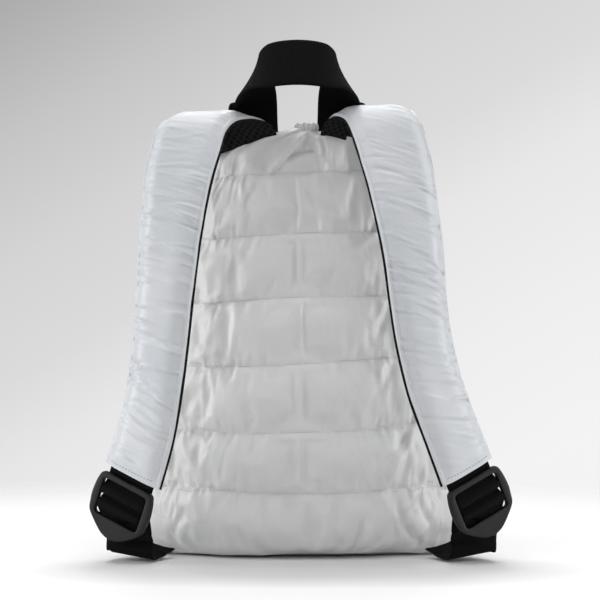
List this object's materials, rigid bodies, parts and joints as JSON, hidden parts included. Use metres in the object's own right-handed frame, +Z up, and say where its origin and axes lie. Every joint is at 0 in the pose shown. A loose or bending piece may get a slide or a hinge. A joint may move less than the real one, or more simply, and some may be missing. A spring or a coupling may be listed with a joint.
{
  "type": "quilted puffer backpack",
  "caption": "Small upright backpack with horizontally quilted padded walls, two hanging shoulder straps with adjusters, and a webbing grab handle.",
  "frame": {"origin": "middle of the flat base, on the surface that the bag stands on", "axes": "+Z up, -Y towards the wearer's back with the straps and the handle, +X to the right as seen from that side"},
  "size_m": [0.3294, 0.2058, 0.4069],
  "materials": {
    "quilted_nylon": "semi-shiny white nylon over filling",
    "strap_nylon": "semi-shiny white nylon over foam, a little cooler",
    "spacer_mesh": "matte black spacer mesh",
    "webbing": "black ribbed polyester webbing",
    "buckle_plastic": "fine matte moulded black"
  },
  "bodies": {
    "root": {"back_panel": "quilted_nylon", "front_panel": "quilted_nylon", "base_panel": "quilted_nylon", "mouth_collar": "quilted_nylon", "strap_cover_left": "strap_nylon", "strap_cover_right": "strap_nylon", "strap_backing_left": "spacer_mesh", "strap_backing_right": "spacer_mesh", "strap_loop_left": "webbing", "strap_loop_right": "webbing", "adjuster_left": "webbing", "adjuster_right": "webbing", "handle": "webbing", "buckle_left": "buckle_plastic", "buckle_right": "buckle_plastic"}
  },
  "joints": []
}
